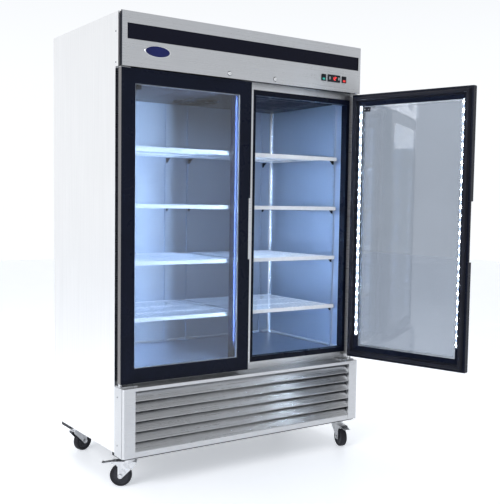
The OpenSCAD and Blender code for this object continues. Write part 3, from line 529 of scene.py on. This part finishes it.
def bezel(p, x, w, h, deep, out, hole_w, hole_h):
    """Rounded flange with an open collar behind it."""
    z, y = CONTROL_Z, HEADER_Y

    def outline(hw, hh, r):
        pts = []
        for cx, cz, a0 in ((hw - r, hh - r, 0), (-hw + r, hh - r, 90),
                           (-hw + r, -hh + r, 180), (hw - r, -hh + r, 270)):
            for k in range(5):
                t = math.radians(a0 + 22.5 * k)
                pts.append((x + cx + r * math.cos(t), z + cz + r * math.sin(t)))
        return pts

    t = bmesh.new()
    steps = [(hole_w, hole_h, 0.0012, y + deep), (hole_w, hole_h, 0.0012, y - out + 0.0006),
             (hole_w + 0.0006, hole_h + 0.0006, 0.0016, y - out), (w - 0.0012, h - 0.0012, 0.0022, y - out),
             (w - 0.0003, h - 0.0003, 0.0026, y - out + 0.0007), (w, h, 0.003, y - out + 0.0018),
             (w, h, 0.003, y - 0.0002), (hole_w + 0.0018, hole_h + 0.0018, 0.0016, y - 0.0002),
             (hole_w + 0.0018, hole_h + 0.0018, 0.0016, y + deep)]
    rows = [[t.verts.new((u, yy, v)) for u, v in outline(a, b, r)] for a, b, r, yy in steps]
    n = len(rows[0])
    for i in range(len(rows)):
        u, v = rows[i], rows[(i + 1) % len(rows)]
        for k in range(n):
            t.faces.new((u[k], u[(k + 1) % n], v[(k + 1) % n], v[k]))
    bmesh.ops.recalc_face_normals(t, faces=t.faces[:])
    p.take(t)


p = Part("switch_bezels")
for x in SWITCH_X:
    bezel(p, x, 0.015, 0.017, 0.022, 0.003, 0.011, 0.0135)
    p.box((x - 0.0128, HEADER_Y + 0.022, CONTROL_Z - 0.0153), (x + 0.0128, HEADER_Y + 0.024, CONTROL_Z + 0.0153),
          0.0005)
p.done(black_matt, "cabinet", replaces=("header_fittings",))

# lit windows on the lower half of the two rockers
for name, x, lens in zip(("light_rocker", "power_rocker"), SWITCH_X, (green_lens, red_lens)):
    p = Part(name + "_lens")
    place = Matrix.Translation((x, -0.425, CONTROL_Z)) @ Matrix.Rotation(math.radians(10), 4, "X")
    foot = [(-0.0041, -0.0018), (-0.0053, -0.0108)]
    rise = [(y - 0.00055, z + 0.00008) for y, z in foot]
    mid = (-0.00535, -0.0063)
    p.prism([foot[0], (rise[0][0] + 0.0002, rise[0][1] + 0.0001), (rise[0][0], rise[0][1] - 0.0006), mid,
             (rise[1][0], rise[1][1] + 0.0006), (rise[1][0] + 0.0002, rise[1][1]), foot[1]],
            "X", -0.0080, 0.0080, m=place)
    p.done(lens, name)

p = Part("lock_barrels")
for x in (-LOCK_X, LOCK_X):
    p.lathe([(0.00608, 0.0029), (0.0068, 0.0030), (0.0085, 0.0028), (0.0093, 0.0020), (0.0095, 0.0008),
             (0.0095, 0.0002), (0.0080, 0.0002), (0.0080, -0.013), (0.00608, -0.013), (0.00608, 0.0029)],
            facing_front(x, HEADER_Y, LOCK_Z), 40)
# black ring round the foot of each barrel: painted shade where the barrel stands out from the header
p.i = 1
for x in (-LOCK_X, LOCK_X):
    p.lathe([(0.0095, 0.0001), (0.0095, 0.0007), (0.0112, 0.0004), (0.0114, 0.0001)],
            facing_front(x, HEADER_Y, LOCK_Z), 40)
p.done([bright, black_trim], "cabinet")

# thermostat: bezel, dark window and lit segments
p = Part("thermostat_body")
tx, tz, ty = 0.505, CONTROL_Z, HEADER_Y
p.box((tx - 0.040, ty - 0.005, tz + 0.0130), (tx + 0.040, ty - 0.0002, tz + 0.018), 0.0016, 3)
p.box((tx - 0.040, ty - 0.005, tz - 0.018), (tx + 0.040, ty - 0.0002, tz - 0.0130), 0.0016, 3)
for a, b in ((tx - 0.040, tx - 0.0345), (tx + 0.0345, tx + 0.040)):
    p.box((a, ty - 0.0049, tz - 0.0145), (b, ty - 0.0002, tz + 0.0145), 0.0012, 3)
for s in (-1, 1):
    x = tx + s * 0.0305
    for z0, z1 in ((-0.0140, -0.0075), (0.0075, 0.0140)):
        p.box((x - 0.0042, ty - 0.0048, tz + z0), (x + 0.0042, ty - 0.0002, tz + z1), 0.0006)
    rib = x + s * 0.0038
    p.box((rib - 0.0004, ty - 0.0048, tz - 0.014), (rib + 0.0004, ty - 0.0002, tz + 0.014), 0.0002)
p.box((tx - 0.0355, ty + 0.002, tz - 0.0143), (tx + 0.0355, ty + 0.046, tz + 0.0143), 0.001)
p.i = 1
p.box((tx - 0.0262, ty - 0.0041, tz - 0.0140), (tx + 0.0262, ty - 0.0002, tz + 0.0140), 0.0006)
p.i = 2


def digit(p, x, z, segments):
    """Seven-segment figure; segments named a to g."""
    w, h, e, y0, y1 = 0.0078, 0.0150, 0.0014, ty - 0.00445, ty - 0.0040
    half, lean = h / 2, 0.0010
    place = {"a": (0, half), "d": (0, -half), "g": (0, 0), "b": (w / 2, half / 2), "c": (w / 2, -half / 2),
             "f": (-w / 2, half / 2), "e": (-w / 2, -half / 2)}
    for s in segments:
        u, v = place[s]
        du, dv = (w / 2 - e * 0.4, e / 2) if s in "adg" else (e / 2, half / 2 - e * 0.4)
        shift = lean * v / half
        p.box((x + u + shift - du, y0, z + v - dv), (x + u + shift + du, y1, z + v + dv), 0.0003)


digit(p, tx - 0.0070, tz, "bc")
digit(p, tx + 0.0060, tz, "abged")
p.box((tx + 0.0150, ty - 0.00445, tz + 0.0060), (tx + 0.0166, ty - 0.0040, tz + 0.0076), 0.0003)
p.done([black_matt, black_paint, red_digit], "cabinet", replaces=("thermostat",))

# plain hairline marks under the two switches
p = Part("switch_marks")
for x in SWITCH_X:
    for k in range(3):
        p.box((x - 0.008 + 0.0062 * k, HEADER_Y - 0.0004, 1.9185), (x - 0.0048 + 0.0062 * k, HEADER_Y, 1.9195),
              0.0001)
p.done(black_matt, "cabinet")

# ---------------------------------------------------------------- grille blades with rolled lips
p = Part("grille_blades")
z0, z1, n = LEG_H + 0.025, GRILLE_TOP - 0.015, 6
pitch = (z1 - z0) / n
deep, out, xe = -0.428, -0.4525, 0.628
for i in range(n):
    lo, hi = z0 + i * pitch, z0 + (i + 1) * pitch - 0.006
    lip = [(out + 0.0012 - 0.0012 * math.cos(math.radians(a)), lo + 0.0012 - 0.0012 * math.sin(math.radians(a)))
           for a in range(-20, 200, 20)]
    outline = [(deep + 0.0001, hi - 0.001), (deep + 0.0004, hi), (deep + 0.0013, hi), (deep + 0.0013, hi - 0.0015),
               (out + 0.0026, lo + 0.0024)] + lip[::-1] + [(out + 0.0004, lo + 0.0030)]
    p.prism(outline, "X", -xe, xe)
for x in (-0.42, 0.0, 0.42):
    p.box((x - 0.008, deep + 0.0014, z0 + 0.006), (x + 0.008, deep + 0.0024, z1 - 0.006), 0.0004)
# black sheet behind the blades: painted shade that darkens the gaps between them
p.i = 1
p.box((-0.626, -0.4010, z0 + 0.002), (0.626, -0.4000, z1 - 0.002), 0.0003)
p.done([steel_h, black_matt], "cabinet", replaces=("louvre_blades",), sharp=28)


# ---------------------------------------------------------------- shelves
def shelf_mesh():
    """A right-hand shelf with its middle height at z = 0."""
    p = Part("shelf")
    x0, x1 = 0.008, 0.636
    lip = []
    for cz, a0 in ((-0.0075, 180), (-0.0075, 270), (0.0075, 0), (0.0075, 90)):
        for k in range(4):
            a = math.radians(a0 + 30 * k)
            lip.append((SHELF_Y0 + 0.0025 + 0.0024 * math.cos(a), cz + 0.0024 * math.sin(a)))
    p.prism(lip, "X", x0 + 0.0004, x1 - 0.0004)
    p.rod((x0 + 0.001, SHELF_Y1 - 0.0032, 0.0060), (x1 - 0.001, SHELF_Y1 - 0.0032, 0.0060), 0.0032, 16, 0.001)
    for x in (x0 + 0.011, x1 - 0.007):
        p.rod((x, SHELF_Y0 + 0.003, 0.0026), (x, SHELF_Y1 - 0.003, 0.0026), 0.0032, 16, 0.001)
    for k in (0.34, 0.67):
        y = SHELF_Y0 + k * (SHELF_Y1 - SHELF_Y0)
        p.rod((x0 + 0.010, y, 0.0030), (x1 - 0.006, y, 0.0030), 0.0028, 16, 0.001)
    first, last, count = x0 + 0.014, x1 - 0.010, 23
    step = (last - first) / (count + 1)
    for i in range(1, count + 1):
        x = first + i * step
        p.rod((x, SHELF_Y0 + 0.0035, 0.0072), (x, SHELF_Y1 - 0.002, 0.0072), 0.0018, 12, 0.0006)
        p.rod((x, SHELF_Y1 - 0.0022, 0.0076), (x, SHELF_Y1 - 0.0022, 0.0015), 0.0018, 10, 0.0006)
    for x in (x0 + 0.02, x1 - 0.02):
        p.rod((x, SHELF_Y0 + 0.0035, -0.004), (x, SHELF_Y0 + 0.02, 0.0026), 0.0022, 12, 0.0006)
    return p


for side, sx in (("left", -1), ("right", 1)):
    for level, z in enumerate(SHELF_Z, 1):
        name = "shelf_%s_%d" % (side, level)
        p = shelf_mesh()
        p.name = "wire_" + name
        p.done(white_coat, name, replaces=(name,), m=Matrix.Translation((0, 0, z)) @ mirror(sx))


# slotted pilasters: a channel whose front web has a slot every 25.4 mm
def pilaster(p, path, m=None):
    """path: (x, y) points of the open channel; the middle stretch carries the slots."""
    z0, z1, thick, pitch, slot_w, slot_h = FLOOR_Z + 0.0005, PILASTER_TOP, 0.0012, 0.0254, 0.0095, 0.0045
    t = bmesh.new()
    zs, kinds, z = [z0, z0 + 0.012], ["wall"], z0 + 0.012
    while z + pitch < z1 - 0.006:
        zs += [z + slot_h, z + pitch]
        kinds += ["slot", "wall"]
        z += pitch
    zs.append(z1)
    kinds.append("wall")
    mid = len(path) // 2 - 1
    a, b = Vector(path[mid]), Vector(path[mid + 1])
    run = (b - a).length
    s0, s1 = a + (b - a) * (0.5 - slot_w / run / 2), a + (b - a) * (0.5 + slot_w / run / 2)
    pts = [Vector(q) for q in path[:mid + 1]] + [s0, s1] + [Vector(q) for q in path[mid + 1:]]
    grid = [[t.verts.new((q.x, q.y, zz)) for q in pts] for zz in zs]
    for r in range(len(zs) - 1):
        for c in range(len(pts) - 1):
            if kinds[r] == "slot" and c == mid + 1:
                continue
            t.faces.new((grid[r][c], grid[r][c + 1], grid[r + 1][c + 1], grid[r + 1][c]))
    bmesh.ops.recalc_face_normals(t, faces=t.faces[:])
    bmesh.ops.solidify(t, geom=t.faces[:], thickness=thick)
    bmesh.ops.recalc_face_normals(t, faces=t.faces[:])
    p.take(t, m)


p = Part("pilasters")
py = PILASTER_Y
pilaster(p, [(-0.0078, py + 0.0095), (-0.0078, py - 0.0085), (0.0078, py - 0.0085), (0.0078, py + 0.0095)])
pilaster(p, [(0.0078, py + 0.0095), (0.0078, py + 0.0096), (-0.0078, py + 0.0096), (-0.0078, py + 0.0095)])
for sx in (-1, 1):
    wall, face, rear, front = INNER_X - 0.0005, INNER_X - 0.0085, LINER_Y1 - 0.0005, LINER_Y1 - 0.0085
    pilaster(p, [(wall, py - 0.0085), (face, py - 0.0085), (face, py + 0.0085), (wall, py + 0.0085)], mirror(sx))
    for x in REAR_PILASTERS:
        pilaster(p, [(x - 0.0085, rear), (x - 0.0085, front), (x + 0.0085, front), (x + 0.0085, rear)], mirror(sx))
p.done(liner_steel_painted_shade_blue, "cabinet", replaces=("shelf_supports",))

p = Part("shelf_clips")
hook = [(0.0, 0.0), (0.0230, 0.0), (0.0230, -0.0050), (0.0170, -0.0070), (0.0070, -0.0160), (0.0, -0.0260)]
for sx in (-1, 1):
    m = mirror(sx)
    for z in SHELF_Z:
        s = z - 0.0013
        p.prism([(0.0094 + u, s + v) for u, v in hook], "Y", py - 0.0070, py + 0.0070, m)
        p.prism([(INNER_X - 0.0105 - u, s + v) for u, v in hook], "Y", py - 0.0070, py + 0.0070, m)
        for x in REAR_PILASTERS:
            back = [(LINER_Y1 - 0.0105 - u * 1.25, s - 0.001 + v) for u, v in hook]
            p.prism(back, "X", x - 0.0045, x + 0.0045, m)
p.done(black_matt, "cabinet")


# ---------------------------------------------------------------- doors
def door_matrix(side):
    """Doors are drawn as a closed right-hand door: the left is its mirror, the right swings open."""
    if side == "left":
        return mirror(-1)
    return Matrix.Translation(HINGE) @ Matrix.Rotation(REST_OPEN, 4, "Z") @ Matrix.Translation(-HINGE)


def door(side):
    m, body = door_matrix(side), "door_" + side
    back = m.inverted()

    def hinge_side(p):
        c = back @ p.center
        return 1 if abs(c.x - DOOR_X1) < 5e-4 and c.y > CORE_Y - 0.0001 else 0

    dress("door_frame_" + side, [black_trim, frame_edge], hinge_side, bevel=0.0008)

    p = Part("door_border_" + side)
    p.door_ring([(0.0085, -0.4202), (0.0085, -0.4235), (0.0089, -0.4239), (0.0655, -0.4239), (0.0655, -0.4202)])
    p.done(black_trim, body, m=m)

    e = 0.0658
    p = Part("door_pane_front_" + side)
    p.box((DOOR_X0 + e, -0.4239, DOOR_Z0 + e), (DOOR_X1 - e, -0.4202, DOOR_Z1 - e), 0.0004)
    p.done(pane_front, body, replaces=("door_glass_" + side,), m=m)
    p = Part("door_pane_rear_" + side)
    e = 0.0604
    p.box((DOOR_X0 + e, -0.4089, DOOR_Z0 + e), (DOOR_X1 - e, -0.4051, DOOR_Z1 - e), 0.0004)
    p.done(pane_rear, body, m=m)

    p = Part("door_spacer_" + side)
    d = 0.0604
    p.door_ring([(d, -0.4196), (d + 0.0080, -0.4196), (d + 0.0089, -0.4185), (d + 0.0089, -0.4103),
                 (d + 0.0080, -0.4092), (d, -0.4092)])
    p.i = 1
    for z, s in ((DOOR_Z0 + d + 0.0089, 1), (DOOR_Z1 - d - 0.0089, -1)):
        for k in range(44):
            x = DOOR_X0 + 0.080 + k * 0.0122
            p.box((x, -0.4152, min(z, z + s * 0.0002)), (x + 0.0036, -0.4136, max(z, z + s * 0.0002)), 0)
    p.done([alu, black_matt], body, m=m)

    # magnetic gasket: base, bellows and magnet pocket
    p = Part("door_seal_" + side)
    p.door_ring([
        (0.0124, -0.3917), (0.0376, -0.3917), (0.0380, -0.3905), (0.0376, -0.3893), (0.0335, -0.3885),
        (0.0322, -0.3868), (0.0340, -0.3842), (0.0322, -0.3816), (0.0338, -0.3790), (0.0330, -0.3726),
        (0.0312, -0.3698), (0.0285, -0.3690), (0.0200, -0.3690), (0.0175, -0.3698), (0.0160, -0.3726),
        (0.0152, -0.3790), (0.0168, -0.3816), (0.0150, -0.3842), (0.0168, -0.3868), (0.0155, -0.3885),
        (0.0124, -0.3893), (0.0120, -0.3905)])
    p.done(rubber, body, replaces=("door_gasket_" + side,), m=m)

    # light strips
    slope = math.atan2(14, 20)
    seat = Matrix.Translation((DOOR_X0 + 0.050, BACK_Y - 0.007, 0)) @ Matrix.Rotation(-slope, 4, "Z")
    flip = Matrix.Translation((DOOR_X0 + DOOR_X1, 0, 0)) @ mirror(-1)
    rail, board, chip, frame_grey, halo, lens = range(6)
    p = Part("led_strip_" + side)
    count, z0, z1, low, high = 29, 0.614, 1.802, 0.600, 1.8155
    for place in (seat, flip @ seat):
        p.i = rail
        p.box((-0.0070, 0.0003, low), (0.0070, 0.0016, high), 0.0004, m=place)
        for s in (-1, 1):
            p.box((s * 0.0066 - 0.0004, 0.0012, low), (s * 0.0066 + 0.0004, 0.0036, high), 0.0002, m=place)
        p.i = board
        p.box((-0.0058, 0.0016, 0.603), (0.0058, 0.0024, 1.813), 0.0003, m=place)
        for k in range(count):
            z = z0 + (z1 - z0) * k / (count - 1)
            # glowing patch round the LED: painted glow
            p.i = halo
            p.box((-0.0062, 0.0022, z - 0.0150), (0.0062, 0.0026, z + 0.0150), 0.0, m=place)
            p.i = frame_grey
            p.box((-0.0056, 0.0024, z - 0.0105), (0.0056, 0.0032, z + 0.0105), 0.0003, m=place)
            spot = place @ Matrix.Translation((0, 0.0031, z)) @ Matrix.Rotation(math.radians(-90), 4, "X")
            p.i = lens
            p.lathe([(0.0, 0.0024), (0.42, 0.0022), (0.72, 0.0016), (0.93, 0.0008), (1.0, 0.0)],
                    spot @ Matrix.Diagonal((0.0046, 0.0088, 1, 1)), 18)
            p.i = chip
            p.lathe([(0.0, 0.0009), (0.0012, 0.0007), (0.0018, 0.0)], spot @ Matrix.Translation((0, 0, 0.0021)), 10)
    p.done([alu, board_painted_glow, led_dot, grey_plastic, led_painted_glow, led_lens], body, replaces=("led_strips_" + side,), m=m)

    p = Part("led_connector_" + side)
    x1, z1 = DOOR_X1 - 0.070, DOOR_Z1 - 0.066
    p.box((x1 - 0.034, -0.4048, z1 - 0.024), (x1, -0.3965, z1), 0.002, 3)
    p.box((x1 - 0.024, -0.3970, z1 - 0.017), (x1 - 0.010, -0.3955, z1 - 0.007), 0.0008)
    p.i = 1
    for x in (x1 - 0.029, x1 - 0.005):
        p.screw((x, -0.3965, z1 - 0.012), (0, 1, 0), 0.0020, 0.0009)
    p.done([black_matt, bright], body, m=m)

    # screws along both edges of the inner face
    p = Part("door_trim_screws_" + side)
    for x in (DOOR_X0 + 0.006, DOOR_X1 - 0.006):
        for k in range(5):
            p.screw((x, BACK_Y, DOOR_Z0 + 0.10 + k * 0.299), (0, 1, 0), 0.0026, 0.0010)
    p.done(black_paint, body, m=m)

    # light given off by the strips: watts of the one at the free side, then at the hinge side
    watts = (60.0, 3.0) if side == "left" else (0.4, 0.4)
    for n, place in enumerate((seat, flip @ seat)):
        data = bpy.data.lights.new("led_light_%s_%d" % (side, n), "AREA")
        data.shape, data.size, data.size_y = "RECTANGLE", 0.012, 1.19
        data.energy, data.color = watts[n], (0.72, 0.85, 1.0)
        data.spread = math.radians(150)
        o = bpy.data.objects.new(data.name, data)
        bpy.context.scene.collection.objects.link(o)
        out = (m @ place).to_3x3() @ Vector((0, 1, 0))
        pos = m @ place @ Vector((0, 0.012, 1.208))
        side_axis = out.cross(Vector((0, 0, 1)))
        o.matrix_world = Matrix.Translation(pos) @ Matrix((side_axis, Vector((0, 0, 1)), -out)).transposed().to_4x4()
        bpy.context.view_layer.update()
        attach(o, body)


door("left")
door("right")

# ---------------------------------------------------------------- casters
for corner in ("front_left", "front_right", "rear_left", "rear_right"):
    dress("caster_fork_" + corner, zinc, bevel=0.0008)
    j = [q for q in frame["joints"] if q["name"] == "wheel_spin_" + corner][0]
    mid, ax, core_r = Vector(j["pos_m"]), Vector(j["axis"]), 0.0385

    def zone(p, mid=mid, ax=ax):
        d = p.center - mid
        r = (d - ax * d.dot(ax)).length
        return 0 if r > core_r else 1

    dress("caster_wheel_" + corner, [tyre, hub], zone)
    # moulded ribs and a raised ring on each side of the core
    p = Part("wheel_detail_" + corner)
    turn = ax.to_track_quat("Z", "Y").to_matrix().to_4x4()
    for s in (-1, 1):
        face = Matrix.Translation(mid) @ turn @ Matrix.Diagonal((1, 1, s, 1))
        for k in range(8):
            a = math.radians(45 * k)
            spoke = face @ Matrix.Rotation(a, 4, "Z")
            p.box((0.0150, -0.0013, 0.0120), (0.0345, 0.0013, 0.0142), 0.0006, m=spoke)
        p.lathe([(0.0320, 0.0122), (0.0325, 0.0140), (0.0340, 0.0144), (0.0352, 0.0136), (0.0352, 0.0122)], face, 48)
    p.done(hub, "wheel_" + corner)
dress("caster_plates", zinc, bevel=0.0006)
for side in ("left", "right"):
    dress("brake_pedal_" + side, zinc, bevel=0.0005)

p = Part("caster_bolts")
for sx in (-1, 1):
    for cy in CASTER_YS:
        for bx in (-0.040, 0.040):
            for by in (-0.030, 0.030):
                c = (sx * CASTER_X + bx, cy + by)
                p.rod((*c, 0.1300), (*c, 0.1339), 0.0064, 6, 0.0006)
                p.rod((*c, 0.1335), (*c, 0.1342), 0.0078, 24, 0.0002)
        m = Matrix.Translation((sx * CASTER_X, cy, 0))
        p.lathe([(0.0285, 0.1282), (0.0318, 0.1282), (0.0325, 0.1296), (0.0318, 0.1322), (0.0285, 0.1322)], m, 40)
p.done(zinc, "cabinet")

# ---------------------------------------------------------------- camera
heading, pitch, roll = math.radians(34.874), math.radians(-4.034), math.radians(0.87)
d = Vector((math.sin(heading) * math.cos(pitch), math.cos(heading) * math.cos(pitch), math.sin(pitch)))
right = d.cross(Vector((0, 0, 1))).normalized()
up = right.cross(d)
r2 = right * math.cos(roll) + up * math.sin(roll)
u2 = up * math.cos(roll) - right * math.sin(roll)
cam_data = bpy.data.cameras.new("camera")
cam_data.sensor_fit, cam_data.sensor_width, cam_data.lens = "HORIZONTAL", 36.0, 58.54
cam_data.shift_x, cam_data.shift_y = -0.0132, 0.0218
cam_data.dof.use_dof = False
cam = bpy.data.objects.new("camera", cam_data)
cam.matrix_world = Matrix.Translation((-2.2362, -3.6886, 1.285)) @ Matrix((r2, u2, -d)).transposed().to_4x4()
bpy.context.scene.collection.objects.link(cam)
bpy.context.scene.camera = cam

# ---------------------------------------------------------------- floor and light
floor_mat = Shader("studio_floor", (0.90, 0.91, 0.93), 0.45)
cloud = floor_mat.noise((0.8, 0.8, 0.8), 3)
floor_mat.plug("Base Color", floor_mat.mix(cloud, (0.90, 0.91, 0.94), (0.93, 0.94, 0.96)))
floor_mat.set("Emission Color", (0.9, 0.94, 1.0, 1))
floor_mat.set("Emission Strength", 0.46)
floor_mat.plug("Roughness", floor_mat.to(floor_mat.noise((3, 3, 3), 4), 0.3, 0.7, 0.36, 0.50))
bm = bmesh.new()
bmesh.ops.create_grid(bm, x_segments=8, y_segments=8, size=14)
me = bpy.data.meshes.new("floor")
bm.to_mesh(me)
bm.free()
me.materials.append(floor_mat.m)
floor = bpy.data.objects.new("floor", me)
bpy.context.scene.collection.objects.link(floor)

world = bpy.data.worlds.new("studio")
bpy.context.scene.world = world
world.use_nodes = True
wt = world.node_tree
sky = wt.nodes["Background"]
coord = wt.nodes.new("ShaderNodeTexCoord")
split = wt.nodes.new("ShaderNodeSeparateXYZ")
wt.links.new(coord.outputs["Generated"], split.inputs[0])


def ramp(out, lo, hi, a, b):
    """Smooth step of a world direction from a to b between lo and hi."""
    n = wt.nodes.new("ShaderNodeMapRange")
    n.interpolation_type = "SMOOTHSTEP"
    for key, value in (("From Min", lo), ("From Max", hi), ("To Min", a), ("To Max", b)):
        n.inputs[key].default_value = value
    wt.links.new(out, n.inputs["Value"])
    return n.outputs["Result"]


both = wt.nodes.new("ShaderNodeMath")
both.operation = "MULTIPLY"
wt.links.new(ramp(split.outputs["Z"], 0.10, 0.78, 1.05, 0.40), both.inputs[0])
wt.links.new(ramp(split.outputs["Y"], -0.9, 0.0, 0.80, 1.0), both.inputs[1])
sky.inputs["Color"].default_value = (0.955, 0.975, 1.0, 1)
wt.links.new(both.outputs[0], sky.inputs["Strength"])


def softbox(name, pos, target, size, power):
    data = bpy.data.lights.new(name, "AREA")
    data.shape, data.size, data.size_y = "RECTANGLE", size[0], size[1]
    data.energy = power
    o = bpy.data.objects.new(name, data)
    aim = (Vector(target) - Vector(pos)).to_track_quat("-Z", "Y").to_matrix().to_4x4()
    o.matrix_world = Matrix.Translation(pos) @ aim
    bpy.context.scene.collection.objects.link(o)


softbox("key_left", (-4.6, -1.8, 3.2), (-0.6, 0, 1.1), (3.0, 2.6), 150)
softbox("top", (0.2, 1.2, 4.4), (0, 0.4, 0.6), (3.2, 2.2), 60)
bpy.context.scene.view_settings.view_transform = "Standard"
